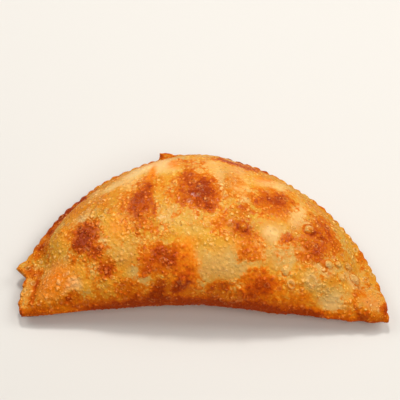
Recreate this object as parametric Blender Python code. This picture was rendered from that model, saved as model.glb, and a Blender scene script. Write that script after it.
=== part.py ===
"""A fried empanada: a round of dough folded over its filling, crimped along the curved edge and blistered in hot oil.

It is one solid, lying flat with the browned face up. X runs from tip to tip, Y from the fold to the crimped rim
and Z up, and the origin is in the middle of the box that holds it, on the table.
The form is worked out on a sphere: its poles go to the two tips, its front to the fold and its back to the rim.
"""

import bpy
import numpy as np

MM = 0.001

# The half moon seen from above: half its length, the reach of the rim, and how square the curve is. The outline
# is felt over the outer share of the way from the middle of the fold.
HALF_LENGTH = 0.0703
RIM_REACH = 0.0724
OUTLINE_POWER = 1.78
OUTLINE_REACH = 0.6
LEFT_FULLNESS = 1.42 * MM
SHOULDER = 0.9 * MM
SHOULDER_ANGLE = 0.72
SHOULDER_SPAN = 0.42
FOLD_HOLLOW = 2.6 * MM
FOLD_HOLLOW_AT = -8.0 * MM
FOLD_HOLLOW_SPAN = 60.0 * MM
FOLD_HOLLOW_REACH = 40.0 * MM

# The left end is cut blunt, and a corner of dough sticks out above the cut.
BLUNT_CUT = 2.0 * MM
BLUNT_FROM = 2.865
BLUNT_TO = 2.905
TIP_CUT = 1.6 * MM
TIP_CUT_FROM = 3.06
CORNER_REACH = 3.2 * MM
CORNER_ANGLE = 2.868
CORNER_UPPER_SPAN = 0.055
CORNER_LOWER_SPAN = 0.022
PEAK_POWER = 1.6

# The pressed lip, wider where it closes the two ends, and the fork marks along it.
LIP_WIDTH = 3.3 * MM
RIGHT_LIP_WIDTH = 9.5 * MM
RIGHT_LIP_SPAN = 0.5
LEFT_LIP_WIDTH = 7.5 * MM
LEFT_LIP_FROM = 2.7
WIDE_LIP_REACH = 0.7
LIP_BLEND = 0.3
LIP_THICKNESS = 3.0 * MM
LIP_EDGE_ROUNDING = 1.5 * MM
FOLD_EDGE_ROUNDING = 3.0 * MM
CRIMP_PITCH = 4.0 * MM
CRIMP_DEPTH = 0.55 * MM
CRIMP_LENGTH = 3.6 * MM
CRIMP_GROOVE = 0.2
GROOVE_FROM = 0.3
CRIMP_WANDER = 0.9 * MM
LONG_WANDER = 13.1 * MM
SHORT_WANDER = 4.7 * MM

# The wide right end of the lip puffs up into a lobe: X, Y, half length, half width and rise.
END_LOBE = (0.0633, -0.0300, 0.0062, 0.0068, 0.0022)

# A shred of the upper dough has come loose on top of the rim.
SHRED_ANGLE = 1.79
SHRED_LEFT_SPAN = 0.014
SHRED_RIGHT_SPAN = 0.07
SHRED_RISE = 2.4 * MM
SHRED_REACH = 1.5 * MM
SHRED_LEAN = 1.2 * MM
SHRED_DEPTH = 2.6 * MM

# The filled body: its bulge above and below the level of the seam.
CROWN = 21.0 * MM
BELLY = 13.0 * MM
FOLD_LEVEL = 12.0 * MM
SEAM_LEVEL = 9.0 * MM
TIP_LEVEL = 4.0 * MM
BODY_ROUNDNESS = 0.5
END_SLACKNESS = 1.0
SLACK_BELOW = 0.2
FULL_ABOVE = 0.6
TAPER_POWER = 0.8
REST_BLEND = 0.8 * MM
REST_FLAT = 0.3 * MM

# Lumps of the filling that show through the dough.
LUMP_LENGTH = 19.0 * MM
LUMP_HEIGHT = 0.9 * MM
LIP_TO_BODY = 8.0 * MM

# Blisters of the fried skin: spacing of their lattice, how many cells have one, and height as a share of the radius.
BLISTER_SPACING = 6.5 * MM
BLISTER_SHARE = 0.55
BLISTER_STEEPNESS = 0.3
BLISTER_SEED = 11
BLISTER_ON_LIP = 0.35
LEAST_BLISTER = 0.28
BLISTER_VARIETY = 0.30
CELL_MARGIN = 0.2

# Blisters large enough to name, on the upper face: X, Y, radius and height. Their domes are a little flat on top.
DOME_POWER = 0.75
LARGE_BLISTERS = (
    (0.0398, -0.0079, 0.0024, 0.0016),
    (0.0575, -0.0213, 0.0022, 0.0013),
    (0.0470, -0.0200, 0.0018, 0.0010),
    (0.0148, -0.0115, 0.0021, 0.0010),
)

# The middle of the part's own box, taken from the first point of the fold.
BOX_MIDDLE = (0.0002, 0.0360)

NET_ROUND = 110
NET_ALONG = 330
TRIANGLES = 10500

CRUST_COLOUR = (0.62, 0.30, 0.09, 1.0)
CRUST_ROUGHNESS = 0.5


def clear_scene():
    for thing in list(bpy.data.objects):
        bpy.data.objects.remove(thing, do_unlink=True)


def ease(value, low, high):
    """0 below low, 1 above high, and a smooth S between them."""
    share = np.clip((value - low) / (high - low), 0.0, 1.0)
    return share * share * (3.0 - 2.0 * share)


def hashed(i, j, k, seed):
    """A number from 0 to 1 for each cell of a lattice, the same each run."""
    mix = i * 374761393 + j * 668265263 + k * 2147483647 + seed * 974634777
    mix = (mix ^ (mix >> 13)) * 1274126177 & 0x7FFFFFFF
    mix = (mix ^ (mix >> 16)) * 1911520717 & 0x7FFFFFFF
    return (mix & 0xFFFFFF) / float(0x1000000)


def soft_noise(points, length, seed):
    """Smooth noise from -1 to 1 with lumps of about that length: cell corners' values, blended between them."""
    scaled = points / length
    base = np.floor(scaled).astype(np.int64)
    share = scaled - base
    share = share * share * (3.0 - 2.0 * share)
    total = np.zeros(len(points))
    for corner in np.ndindex(2, 2, 2):
        weight = np.prod(np.where(corner, share, 1.0 - share), axis=1)
        cell = base + np.array(corner)
        total += weight * hashed(cell[:, 0], cell[:, 1], cell[:, 2], seed)
    return 2.0 * total - 1.0


def blisters(points, spacing, share, steepness, seed):
    """Height of round blisters, one to a lattice cell at most: (1 - (distance / radius) squared) to the power 1.5."""
    base = np.floor(points / spacing).astype(np.int64)
    height = np.zeros(len(points))
    for offset in np.ndindex(3, 3, 3):
        cell = base + np.array(offset) - 1
        draws = [hashed(cell[:, 0], cell[:, 1], cell[:, 2], seed + n) for n in range(5)]
        centre = (cell + CELL_MARGIN + (1.0 - 2.0 * CELL_MARGIN) * np.stack(draws[:3], axis=1)) * spacing
        radius = spacing * (LEAST_BLISTER + BLISTER_VARIETY * draws[3])
        inside = 1.0 - np.sum((points - centre) ** 2, axis=1) / radius**2
        dome = steepness * radius * np.clip(inside, 0.0, None) ** 1.5
        height = np.maximum(height, np.where(draws[4] < share, dome, 0.0))
    return height


def bump(angle, middle, before, after):
    """A peak at middle, falling off over one span before it and another after it."""
    span = np.where(angle < middle, before, after)
    return np.exp(-np.abs((angle - middle) / span) ** PEAK_POWER)


def rim_radius(angle):
    """Distance of the rim from the middle of the fold: a half superellipse, fuller at both shoulders."""
    across = np.abs(np.cos(angle) / HALF_LENGTH) ** OUTLINE_POWER
    deep = np.abs(np.sin(angle) / RIM_REACH) ** OUTLINE_POWER
    radius = (across + deep) ** (-1.0 / OUTLINE_POWER)
    shoulder = SHOULDER * np.exp(-(((angle - SHOULDER_ANGLE) / SHOULDER_SPAN) ** 2))
    return radius - LEFT_FULLNESS * np.sin(2.0 * angle) + shoulder


def extra_lip_width(angle):
    """How much wider than round the curve the lip is at this angle, where it closes the two ends."""
    right = (RIGHT_LIP_WIDTH - LIP_WIDTH) * (1.0 - ease(angle, 0.0, RIGHT_LIP_SPAN))
    return right + (LEFT_LIP_WIDTH - LIP_WIDTH) * ease(angle, LEFT_LIP_FROM, CORNER_ANGLE)


def left_end(angle):
    """How far the rim stands out of its curve: cut back at the blunt end, with the corner of dough above the cut."""
    corner = bump(angle, CORNER_ANGLE, CORNER_UPPER_SPAN, CORNER_LOWER_SPAN)
    cut = BLUNT_CUT * ease(angle, BLUNT_FROM, BLUNT_TO) + TIP_CUT * ease(angle, TIP_CUT_FROM, np.pi)
    return CORNER_REACH * corner - cut


def rim_length(angle):
    """Length of the rim from the right tip to this angle."""
    steps = np.linspace(0.0, np.pi, 721)
    radius = rim_radius(steps)
    path = np.stack([radius * np.cos(steps), radius * np.sin(steps)], axis=1)
    run = np.concatenate([[0.0], np.cumsum(np.linalg.norm(np.diff(path, axis=0), axis=1))])
    return np.interp(angle, steps, run)


def crimp_lobes(angle):
    """0 in a fork mark and 1 on the lobe between two marks. The marks wander a little from an even pitch."""
    run = rim_length(angle)
    run = run + CRIMP_WANDER * np.sin(run / LONG_WANDER) * np.sin(run / SHORT_WANDER + 1.0)
    return np.abs(np.sin(np.pi * run / CRIMP_PITCH))


def net_on_half_disc(along, around):
    """Arcs that leave the fold square on and meet the rim square on, on a half disc of radius 1.

    along runs from 0 at the right tip to pi at the left, and around is 0 at the fold and pi at the rim.
    """
    share = np.where(around <= np.pi, around, 2.0 * np.pi - around) / np.pi
    lean = np.pi / 4.0 * (1.0 - np.cos(np.pi * share))
    below = 1.0 + np.cos(lean) * np.sin(along)
    return np.cos(along) / below, np.sin(lean) * np.sin(along) / below


def crust_form(along, around):
    """Points of the smooth crust: the plan from the net, the heights from the distances to fold and rim."""
    flat_x, flat_y = net_on_half_disc(along, around)
    angle = np.arctan2(flat_y, flat_x)
    share_out = np.hypot(flat_x, flat_y)
    upper = around <= np.pi

    full_radius = RIM_REACH + (rim_radius(angle) - RIM_REACH) * ease(share_out, 0.0, OUTLINE_REACH)
    from_rim = full_radius * (1.0 - share_out)
    lobes = crimp_lobes(angle)
    radius = full_radius * share_out + left_end(angle) * (1.0 - ease(from_rim, 0.0, LEFT_LIP_WIDTH))
    radius = radius - CRIMP_DEPTH * (1.0 - lobes) * (1.0 - ease(from_rim, 0.0, CRIMP_LENGTH)) ** 2
    x = radius * np.cos(angle)
    from_fold = full_radius * share_out * np.sin(angle)
    y = radius * np.sin(angle)
    hollow = np.clip(1.0 - ((x - FOLD_HOLLOW_AT) / FOLD_HOLLOW_SPAN) ** 2, 0.0, None) ** 2
    y = y + FOLD_HOLLOW * hollow * (1.0 - ease(from_fold, 0.0, FOLD_HOLLOW_REACH))

    lip_width = LIP_WIDTH + extra_lip_width(angle) * ease(share_out, 0.0, WIDE_LIP_REACH)
    past_root = from_rim - lip_width
    from_root = 0.5 * (past_root + np.hypot(past_root, LIP_BLEND * lip_width)) * ease(from_rim, 0.0, lip_width)
    width = from_root + from_fold
    share = from_fold / np.maximum(width, 1e-9)
    taper = np.clip(width / (RIM_REACH - LIP_WIDTH), 0.0, None) ** TAPER_POWER
    roundness = BODY_ROUNDNESS + END_SLACKNESS * (1.0 - ease(taper, SLACK_BELOW, FULL_ABOVE))
    bulge = taper * np.clip(4.0 * share * (1.0 - share), 0.0, 1.0) ** roundness

    lip_round = np.clip(from_rim / LIP_EDGE_ROUNDING, 0.0, 1.0)
    fold_round = np.clip(from_fold / FOLD_EDGE_ROUNDING, 0.0, 1.0)
    lip = LIP_THICKNESS / 2.0 * np.sqrt((1.0 - (1.0 - lip_round) ** 2) * (1.0 - (1.0 - fold_round) ** 2))
    pressed = 1.0 - CRIMP_GROOVE * (1.0 - lobes) * (1.0 - ease(from_rim, GROOVE_FROM * CRIMP_LENGTH, CRIMP_LENGTH))
    lip = lip * pressed

    level = TIP_LEVEL + (FOLD_LEVEL * (1.0 - share) + SEAM_LEVEL * share - TIP_LEVEL) * taper
    above = level + np.hypot(CROWN * bulge, lip)
    under = level - np.hypot(BELLY * bulge, lip)
    z = np.where(upper, above, under)

    shred = bump(angle, SHRED_ANGLE, SHRED_RIGHT_SPAN, SHRED_LEFT_SPAN) * upper
    shred = shred * (1.0 - ease(from_rim, 0.0, SHRED_DEPTH))
    x = x + shred * (SHRED_REACH * np.cos(angle) - SHRED_LEAN)
    y = y + shred * SHRED_REACH * np.sin(angle)
    z = z + shred * SHRED_RISE
    points = np.stack([x - BOX_MIDDLE[0], y - BOX_MIDDLE[1], z], axis=1)
    return points, from_rim, from_fold, upper


def relief(points, from_rim, from_fold, upper):
    """How far each point stands out of the smooth form: filling lumps, blisters, the end lobe and the named ones."""
    on_body = ease(from_rim, LIP_WIDTH, LIP_WIDTH + LIP_TO_BODY)
    off_fold = ease(from_fold, 0.0, LUMP_LENGTH)
    height = LUMP_HEIGHT * on_body * off_fold * soft_noise(points, LUMP_LENGTH, BLISTER_SEED)
    skin = blisters(points, BLISTER_SPACING, BLISTER_SHARE, BLISTER_STEEPNESS, BLISTER_SEED)
    height = height + skin * (BLISTER_ON_LIP + (1.0 - BLISTER_ON_LIP) * on_body)
    x, y, half_length, half_width, rise = END_LOBE
    away = np.hypot((points[:, 0] - x) / half_length, (points[:, 1] - y) / half_width)
    height = height + np.where(upper, rise * np.clip(1.0 - away**2, 0.0, None) ** DOME_POWER, 0.0)
    for x, y, radius, rise in LARGE_BLISTERS:
        away = np.hypot(points[:, 0] - x, points[:, 1] - y) / radius
        dome = rise * np.clip(1.0 - away**2, 0.0, None) ** DOME_POWER
        height = height + np.where(upper, dome, 0.0)
    return height


def rest_on_table(z):
    """Dough that would sink below the table lies flat on it, with a short round at the edge of the flat spot."""
    blended = (z + REST_BLEND) ** 2 / (4.0 * REST_BLEND)
    return np.where(z > REST_BLEND, z, np.where(z < -REST_BLEND, 0.0, blended))


def level_rest(mesh):
    """Every point that is nearly on the table is put exactly on it, so that the pastry lies on one flat face."""
    places = np.empty(len(mesh.vertices) * 3, np.float32)
    mesh.vertices.foreach_get("co", places)
    places = places.reshape(-1, 3)
    places[places[:, 2] < REST_FLAT, 2] = 0.0
    mesh.vertices.foreach_set("co", places.ravel())
    mesh.update()


def crust_material():
    material = bpy.data.materials.new("fried dough")
    material.use_nodes = True
    shader = material.node_tree.nodes["Principled BSDF"]
    shader.inputs["Base Color"].default_value = CRUST_COLOUR
    shader.inputs["Roughness"].default_value = CRUST_ROUGHNESS
    shader.inputs["Metallic"].default_value = 0.0
    return material


def make_empanada():
    bpy.ops.mesh.primitive_uv_sphere_add(segments=NET_ROUND, ring_count=NET_ALONG, radius=1.0)
    empanada = bpy.context.object
    empanada.name = "empanada"
    mesh = empanada.data
    ball = np.empty(len(mesh.vertices) * 3, np.float32)
    mesh.vertices.foreach_get("co", ball)
    ball = ball.reshape(-1, 3).astype(float)
    along = np.arccos(np.clip(ball[:, 2], -1.0, 1.0))
    around = np.arctan2(-ball[:, 1], ball[:, 0]) % (2.0 * np.pi)

    points, from_rim, from_fold, upper = crust_form(along, around)
    mesh.vertices.foreach_set("co", points.astype(np.float32).ravel())
    mesh.update()
    facing = np.empty(len(mesh.vertices) * 3, np.float32)
    mesh.vertex_normals.foreach_get("vector", facing)
    facing = facing.reshape(-1, 3)
    points = points + facing * relief(points, from_rim, from_fold, upper)[:, None]
    points[:, 2] = rest_on_table(points[:, 2])
    mesh.vertices.foreach_set("co", points.astype(np.float32).ravel())
    mesh.update()

    fewer = empanada.modifiers.new("fewer faces", "DECIMATE")
    fewer.ratio = TRIANGLES / (2.0 * NET_ROUND * (NET_ALONG - 1))
    bpy.ops.object.modifier_apply(modifier=fewer.name)
    level_rest(mesh)
    mesh.shade_smooth()
    mesh.materials.append(crust_material())
    return empanada


def main():
    clear_scene()
    food = bpy.data.collections.new("empanada")
    bpy.context.scene.collection.children.link(food)
    empanada = make_empanada()
    for holder in list(empanada.users_collection):
        holder.objects.unlink(empanada)
    food.objects.link(empanada)


main()
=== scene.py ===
import math
import bpy
import numpy as np
from mathutils import Matrix


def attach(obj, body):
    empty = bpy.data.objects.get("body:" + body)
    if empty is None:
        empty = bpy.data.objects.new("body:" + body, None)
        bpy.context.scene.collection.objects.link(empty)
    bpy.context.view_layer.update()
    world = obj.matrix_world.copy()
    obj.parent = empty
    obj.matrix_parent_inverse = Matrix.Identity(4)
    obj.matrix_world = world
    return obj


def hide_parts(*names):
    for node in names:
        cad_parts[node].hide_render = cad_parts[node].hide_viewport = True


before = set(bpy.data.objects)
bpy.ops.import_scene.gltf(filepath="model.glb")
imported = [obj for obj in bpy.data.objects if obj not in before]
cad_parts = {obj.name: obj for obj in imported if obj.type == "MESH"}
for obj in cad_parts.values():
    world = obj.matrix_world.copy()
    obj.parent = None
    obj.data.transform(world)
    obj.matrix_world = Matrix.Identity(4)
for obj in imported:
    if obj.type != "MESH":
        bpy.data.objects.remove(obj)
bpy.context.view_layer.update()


# The folded round of dough. A disc of wheat dough about 140 mm across is folded over its filling, so that
# the fold makes the straight side and the two halves of the edge meet along the curve. It lies flat and
# swells most in the middle.
HALF_LENGTH = 0.0703
RIM_REACH = 0.0724
OUTLINE_POWER = 1.78
OUTLINE_REACH = 0.6
LEFT_FULLNESS = 0.00142
SHOULDER = 0.0009
SHOULDER_ANGLE = 0.72
SHOULDER_SPAN = 0.42
FOLD_HOLLOW = 0.0026
FOLD_HOLLOW_AT = -0.0080
FOLD_HOLLOW_SPAN = 0.0600
FOLD_HOLLOW_REACH = 0.0400
LIP_WIDTH = 0.0033
RIGHT_LIP_WIDTH = 0.0095
RIGHT_LIP_SPAN = 0.5
LEFT_LIP_WIDTH = 0.0075
LEFT_LIP_FROM = 2.7
WIDE_LIP_REACH = 0.7
LIP_BLEND = 0.3
CROWN = 0.0210
BELLY = 0.0130
FOLD_LEVEL = 0.0120
SEAM_LEVEL = 0.0090
TIP_LEVEL = 0.0040
BODY_ROUNDNESS = 0.5
END_SLACKNESS = 1.0
SLACK_BELOW = 0.2
FULL_ABOVE = 0.6
TAPER_POWER = 0.8
FOLD_EDGE_ROUNDING = 0.0030
BOX_MIDDLE = (0.0002, 0.0360)
STATIONS = 404
ROWS_ABOVE = 188
ROWS_BELOW = 52


def ease(value, low, high):
    """0 below low, 1 above high, and a smooth S between them."""
    share = np.clip((value - low) / (high - low), 0.0, 1.0)
    return share * share * (3.0 - 2.0 * share)


def rim_radius(angle):
    """Distance of the rim from the middle of the fold: a half superellipse, fuller at both shoulders."""
    across = np.abs(np.cos(angle) / HALF_LENGTH) ** OUTLINE_POWER
    deep = np.abs(np.sin(angle) / RIM_REACH) ** OUTLINE_POWER
    radius = (across + deep) ** (-1.0 / OUTLINE_POWER)
    shoulder = SHOULDER * np.exp(-(((angle - SHOULDER_ANGLE) / SHOULDER_SPAN) ** 2))
    return radius - LEFT_FULLNESS * np.sin(2.0 * angle) + shoulder


def net_on_half_disc(along, around):
    """Arcs that leave the fold square on and meet the rim square on, on a half disc of radius 1.

    along runs from 0 at the right tip to pi at the left, and around is 0 at the fold and pi at the rim.
    """
    share = np.where(around <= np.pi, around, 2.0 * np.pi - around) / np.pi
    lean = np.pi / 4.0 * (1.0 - np.cos(np.pi * share))
    below = 1.0 + np.cos(lean) * np.sin(along)
    return np.cos(along) / below, np.sin(lean) * np.sin(along) / below


# The crimped rim. The two layers of dough are pressed together with a fork, which leaves a wavy edge with
# a mark every 4 mm. The left end is blunt with a corner of dough above it, and on top of the rim a shred of
# the upper layer has come loose.
LIP_THICKNESS = 0.0030
LIP_EDGE_ROUNDING = 0.0015
CRIMP_PITCH = 0.0040
CRIMP_DEPTH = 0.00055
CRIMP_LENGTH = 0.0036
CRIMP_GROOVE = 0.2
GROOVE_FROM = 0.3
CRIMP_WANDER = 0.0009
LONG_WANDER = 0.0131
SHORT_WANDER = 0.0047
RIM_SAMPLES = 721
BLUNT_CUT = 0.0020
BLUNT_FROM = 2.865
BLUNT_TO = 2.905
TIP_CUT = 0.0016
TIP_CUT_FROM = 3.06
CORNER_REACH = 0.0032
CORNER_ANGLE = 2.868
CORNER_UPPER_SPAN = 0.055
CORNER_LOWER_SPAN = 0.022
PEAK_POWER = 1.6
SHRED_ANGLE = 1.79
SHRED_LEFT_SPAN = 0.014
SHRED_RIGHT_SPAN = 0.07
SHRED_RISE = 0.0024
SHRED_REACH = 0.0015
SHRED_LEAN = 0.0012
SHRED_DEPTH = 0.0026


def bump(angle, middle, before, after):
    """A peak at middle, falling off over one span before it and another after it."""
    span = np.where(angle < middle, before, after)
    return np.exp(-np.abs((angle - middle) / span) ** PEAK_POWER)


def extra_lip_width(angle):
    """How much wider than round the curve the lip is at this angle, where it closes the two ends."""
    right = (RIGHT_LIP_WIDTH - LIP_WIDTH) * (1.0 - ease(angle, 0.0, RIGHT_LIP_SPAN))
    return right + (LEFT_LIP_WIDTH - LIP_WIDTH) * ease(angle, LEFT_LIP_FROM, CORNER_ANGLE)


def left_end(angle):
    """How far the rim stands out of its curve: cut back at the blunt end, with the corner above the cut."""
    corner = bump(angle, CORNER_ANGLE, CORNER_UPPER_SPAN, CORNER_LOWER_SPAN)
    cut = BLUNT_CUT * ease(angle, BLUNT_FROM, BLUNT_TO) + TIP_CUT * ease(angle, TIP_CUT_FROM, np.pi)
    return CORNER_REACH * corner - cut


def rim_length(angle):
    """Length of the rim from the right tip to this angle."""
    steps = np.linspace(0.0, np.pi, RIM_SAMPLES)
    radius = rim_radius(steps)
    path = np.stack([radius * np.cos(steps), radius * np.sin(steps)], axis=1)
    run = np.concatenate([[0.0], np.cumsum(np.linalg.norm(np.diff(path, axis=0), axis=1))])
    return np.interp(angle, steps, run)


def crimp_lobes(angle):
    """0 in a fork mark, 1 on the lobe between two. The marks wander a little from an even pitch."""
    run = rim_length(angle)
    run = run + CRIMP_WANDER * np.sin(run / LONG_WANDER) * np.sin(run / SHORT_WANDER + 1.0)
    return np.abs(np.sin(np.pi * run / CRIMP_PITCH))


def crust_form(along, around):
    """Points of the smooth crust: the plan from the net, the heights from the distances to fold and rim.

    The faces stand above and below a level by the root of body squared plus lip squared. The body is four
    times share times one less share, to a power, with share going from 0 at the fold to 1 at the lip's root,
    and it tapers with the width of the dough there.
    """
    flat_x, flat_y = net_on_half_disc(along, around)
    angle = np.arctan2(flat_y, flat_x)
    share_out = np.hypot(flat_x, flat_y)
    upper = around <= np.pi

    full_radius = RIM_REACH + (rim_radius(angle) - RIM_REACH) * ease(share_out, 0.0, OUTLINE_REACH)
    from_rim = full_radius * (1.0 - share_out)
    lobes = crimp_lobes(angle)
    radius = full_radius * share_out + left_end(angle) * (1.0 - ease(from_rim, 0.0, LEFT_LIP_WIDTH))
    radius = radius - CRIMP_DEPTH * (1.0 - lobes) * (1.0 - ease(from_rim, 0.0, CRIMP_LENGTH)) ** 2
    x = radius * np.cos(angle)
    from_fold = full_radius * share_out * np.sin(angle)
    y = radius * np.sin(angle)
    hollow = np.clip(1.0 - ((x - FOLD_HOLLOW_AT) / FOLD_HOLLOW_SPAN) ** 2, 0.0, None) ** 2
    y = y + FOLD_HOLLOW * hollow * (1.0 - ease(from_fold, 0.0, FOLD_HOLLOW_REACH))

    lip_width = LIP_WIDTH + extra_lip_width(angle) * ease(share_out, 0.0, WIDE_LIP_REACH)
    past_root = from_rim - lip_width
    past_blend = 0.5 * (past_root + np.hypot(past_root, LIP_BLEND * lip_width))
    from_root = past_blend * ease(from_rim, 0.0, lip_width)
    width = from_root + from_fold
    share = from_fold / np.maximum(width, 1e-9)
    taper = np.clip(width / (RIM_REACH - LIP_WIDTH), 0.0, None) ** TAPER_POWER
    roundness = BODY_ROUNDNESS + END_SLACKNESS * (1.0 - ease(taper, SLACK_BELOW, FULL_ABOVE))
    bulge = taper * np.clip(4.0 * share * (1.0 - share), 0.0, 1.0) ** roundness

    lip_round = np.clip(from_rim / LIP_EDGE_ROUNDING, 0.0, 1.0)
    fold_round = np.clip(from_fold / FOLD_EDGE_ROUNDING, 0.0, 1.0)
    lip = LIP_THICKNESS / 2.0 * np.sqrt((1.0 - (1.0 - lip_round) ** 2) * (1.0 - (1.0 - fold_round) ** 2))
    groove_fade = 1.0 - ease(from_rim, GROOVE_FROM * CRIMP_LENGTH, CRIMP_LENGTH)
    pressed = 1.0 - CRIMP_GROOVE * (1.0 - lobes) * groove_fade
    lip = lip * pressed

    level = TIP_LEVEL + (FOLD_LEVEL * (1.0 - share) + SEAM_LEVEL * share - TIP_LEVEL) * taper
    above = level + np.hypot(CROWN * bulge, lip)
    under = level - np.hypot(BELLY * bulge, lip)
    z = np.where(upper, above, under)

    shred = bump(angle, SHRED_ANGLE, SHRED_RIGHT_SPAN, SHRED_LEFT_SPAN) * upper
    shred = shred * (1.0 - ease(from_rim, 0.0, SHRED_DEPTH))
    x = x + shred * (SHRED_REACH * np.cos(angle) - SHRED_LEAN)
    y = y + shred * SHRED_REACH * np.sin(angle)
    z = z + shred * SHRED_RISE
    points = np.stack([x - BOX_MIDDLE[0], y - BOX_MIDDLE[1], z], axis=-1)
    return points, from_rim, from_fold, lobes, upper


# One closed grid: stations run from the right tip to the left one, and rows run over the top from the fold
# to the rim and back underneath. A fan of triangles closes it at each tip.
station = np.linspace(0.0, np.pi, STATIONS + 2)[1:-1]
row = np.concatenate([
    np.linspace(0.0, np.pi, ROWS_ABOVE, endpoint=False),
    np.linspace(np.pi, 2.0 * np.pi, ROWS_BELOW, endpoint=False),
])
rows = len(row)
along, around = np.meshgrid(station, row, indexing="ij")
tip_along = np.array([0.0, np.pi])
along = np.concatenate([along.ravel(), tip_along])
around = np.concatenate([around.ravel(), [0.0, 0.0]])
points, from_rim, from_fold, lobes, upper = crust_form(along, around)

here = np.arange(STATIONS * rows).reshape(STATIONS, rows)
beside = np.roll(here, -1, axis=1)
quads = np.stack([here[:-1], beside[:-1], beside[1:], here[1:]], axis=-1).reshape(-1, 4)
right_tip, left_tip = STATIONS * rows, STATIONS * rows + 1
right_fan = np.stack([np.full(rows, right_tip), beside[0], here[0]], axis=-1)
left_fan = np.stack([np.full(rows, left_tip), here[-1], beside[-1]], axis=-1)
corners = np.concatenate([quads.ravel(), right_fan.ravel(), left_fan.ravel()])
sides = np.concatenate([np.full(len(quads), 4), np.full(2 * rows, 3)])


def make_mesh(name, places, loop_corners, face_sides):
    """A mesh from points, the corners of all its faces in a row, and how many corners each face has."""
    mesh = bpy.data.meshes.new(name)
    mesh.vertices.add(len(places))
    mesh.vertices.foreach_set("co", places.astype(np.float32).ravel())
    mesh.loops.add(len(loop_corners))
    mesh.loops.foreach_set("vertex_index", loop_corners.astype(np.int32))
    mesh.polygons.add(len(face_sides))
    starts = np.concatenate([[0], np.cumsum(face_sides)[:-1]])
    mesh.polygons.foreach_set("loop_start", starts.astype(np.int32))
    mesh.polygons.foreach_set("loop_total", face_sides.astype(np.int32))
    mesh.update(calc_edges=True)
    mesh.validate()
    mesh.shade_smooth()
    return mesh


def facing_of(places):
    """Outward direction at each point of the grid, from the mesh that the points make."""
    trial = make_mesh("trial crust", places, corners, sides)
    facing = np.empty(len(places) * 3, np.float32)
    trial.vertex_normals.foreach_get("vector", facing)
    bpy.data.meshes.remove(trial)
    return facing.reshape(-1, 3).astype(float)


# The blisters. Steam lifts the skin of the frying dough into domes from less than 1 mm up to 4 mm across,
# close together, and some of the larger ones burst and leave a ring. The filling makes wider lumps below.
LUMP_LENGTH = 0.0190
LUMP_HEIGHT = 0.0009
WAVE_LENGTH = 0.0070
WAVE_HEIGHT = 0.00022
COARSE_SPACING = 0.0065
COARSE_SHARE = 0.55
COARSE_STEEPNESS = 0.15
BLISTER_SEED = 11
CELL_MARGIN = 0.2
SMALLEST_RADIUS = 0.28
RADIUS_RANGE = 0.3
SKIN_DOME_POWER = 1.5
LARGE_DOME_POWER = 0.75
DOME_TOP_HEIGHT = 0.0009
CREST_HEIGHT = 0.0004
FOOT_AT = 1.05
FOOT_SPREAD = 0.22
RING_AT = 0.8
RING_SPREAD = 0.26
BODY_BLEND = 0.0080
LIP_COARSE = 0.35
LIP_SKIN = 0.55
PLAIN_CROWD = 0.75
BROWNED_CROWD = 0.45
PALE_CROWD = 0.45
REST_BLEND = 0.0008
REST_FLAT = 0.0003

# The skin's blisters in three sizes: spacing, share of the cells that hold one, steepness and seed.
SKIN_BLISTERS = (
    (0.0027, 0.50, 0.34, 31),
    (0.0018, 0.75, 0.42, 47),
    (0.0012, 0.85, 0.46, 59),
)

# Single blisters on the upper face, from left to right: X, Y, radius and height. The swollen lobe at the
# right tip has a half length and a half width instead of a radius.
END_LOBE = (0.0633, -0.0300, 0.0062, 0.0068, 0.0022)
LARGE_BLISTERS = (
    (-0.0065, -0.0298, 0.0014, 0.0008),
    (0.0148, -0.0115, 0.0019, 0.0010),
    (0.0307, -0.0250, 0.0015, 0.0008),
    (0.0398, -0.0079, 0.0021, 0.0015),
    (0.0470, -0.0200, 0.0016, 0.0010),
    (0.0507, -0.0190, 0.0014, 0.0009),
    (0.0520, -0.0234, 0.0016, 0.0009),
    (0.0548, -0.0179, 0.0015, 0.0010),
    (0.0575, -0.0213, 0.0020, 0.0013),
)
BURST_BLISTERS = (
    (-0.0426, -0.0008, 0.0012, 0.0005),
    (-0.0377, 0.0028, 0.0012, 0.0005),
    (-0.0372, -0.0052, 0.0010, 0.0004),
    (-0.0351, -0.0026, 0.0011, 0.0005),
    (0.0102, -0.0325, 0.0013, 0.0005),
    (0.0144, -0.0324, 0.0013, 0.0005),
    (0.0264, -0.0115, 0.0018, 0.0003),
    (0.0327, -0.0288, 0.0014, 0.0006),
    (0.0405, -0.0267, 0.0020, 0.0003),
    (0.0431, -0.0093, 0.0015, 0.0007),
    (0.0620, -0.0199, 0.0012, 0.0005),
)


def hashed(i, j, k, seed):
    """A number from 0 to 1 for each cell of a lattice, the same each run.

    Large odd factors and shifts stir the cell's three numbers and the seed, and the lowest 24 bits are kept.
    """
    mix = i * 374761393 + j * 668265263 + k * 2147483647 + seed * 974634777
    mix = (mix ^ (mix >> 13)) * 1274126177 & 0x7FFFFFFF
    mix = (mix ^ (mix >> 16)) * 1911520717 & 0x7FFFFFFF
    return (mix & 0xFFFFFF) / float(0x1000000)


def soft_noise(places, length, seed):
    """Smooth noise from -1 to 1 with lumps of about that length: a lattice's values, blended in each cell.

    The blend is a product of one smooth S along each axis.
    """
    scaled = places / length
    base = np.floor(scaled).astype(np.int64)
    share = scaled - base
    share = share * share * (3.0 - 2.0 * share)
    total = np.zeros(len(places))
    for corner in np.ndindex(2, 2, 2):
        weight = np.prod(np.where(corner, share, 1.0 - share), axis=1)
        cell = base + np.array(corner)
        total += weight * hashed(cell[:, 0], cell[:, 1], cell[:, 2], seed)
    return 2.0 * total - 1.0


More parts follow.
